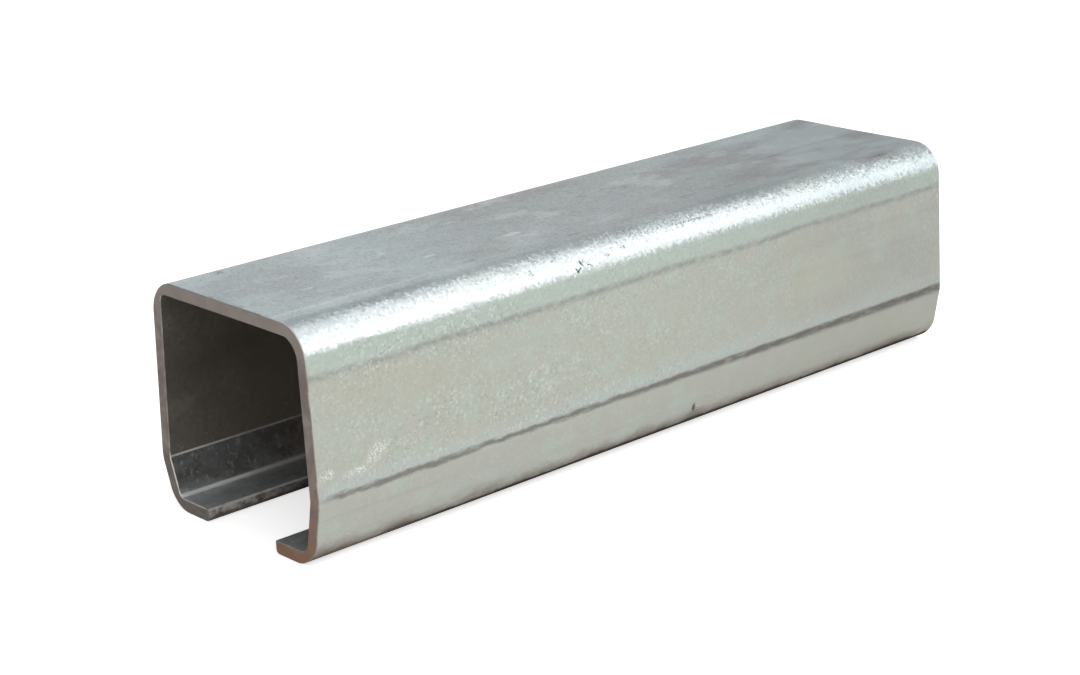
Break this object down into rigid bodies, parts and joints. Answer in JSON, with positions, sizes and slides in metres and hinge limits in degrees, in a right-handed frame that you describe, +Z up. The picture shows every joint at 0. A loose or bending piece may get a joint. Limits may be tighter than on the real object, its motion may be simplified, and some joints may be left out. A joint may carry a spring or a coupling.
{
  "type": "cantilever gate track",
  "caption": "Short length of zinc-coated steel C-section track for a cantilever sliding gate, with inward-leaning flanks, turned-in lips and a running slot underneath.",
  "frame": {"origin": "middle of the length, level with the undersides of the lips, centred between the flanks", "axes": "+X across the section, +Y along the track, +Z up from the lips to the flat top"},
  "size_m": [0.0948, 0.34, 0.088],
  "materials": {
    "zinc_steel": "satin zinc coating, bare sawn ends"
  },
  "bodies": {
    "root": {"gate_track": "zinc_steel"}
  },
  "joints": []
}
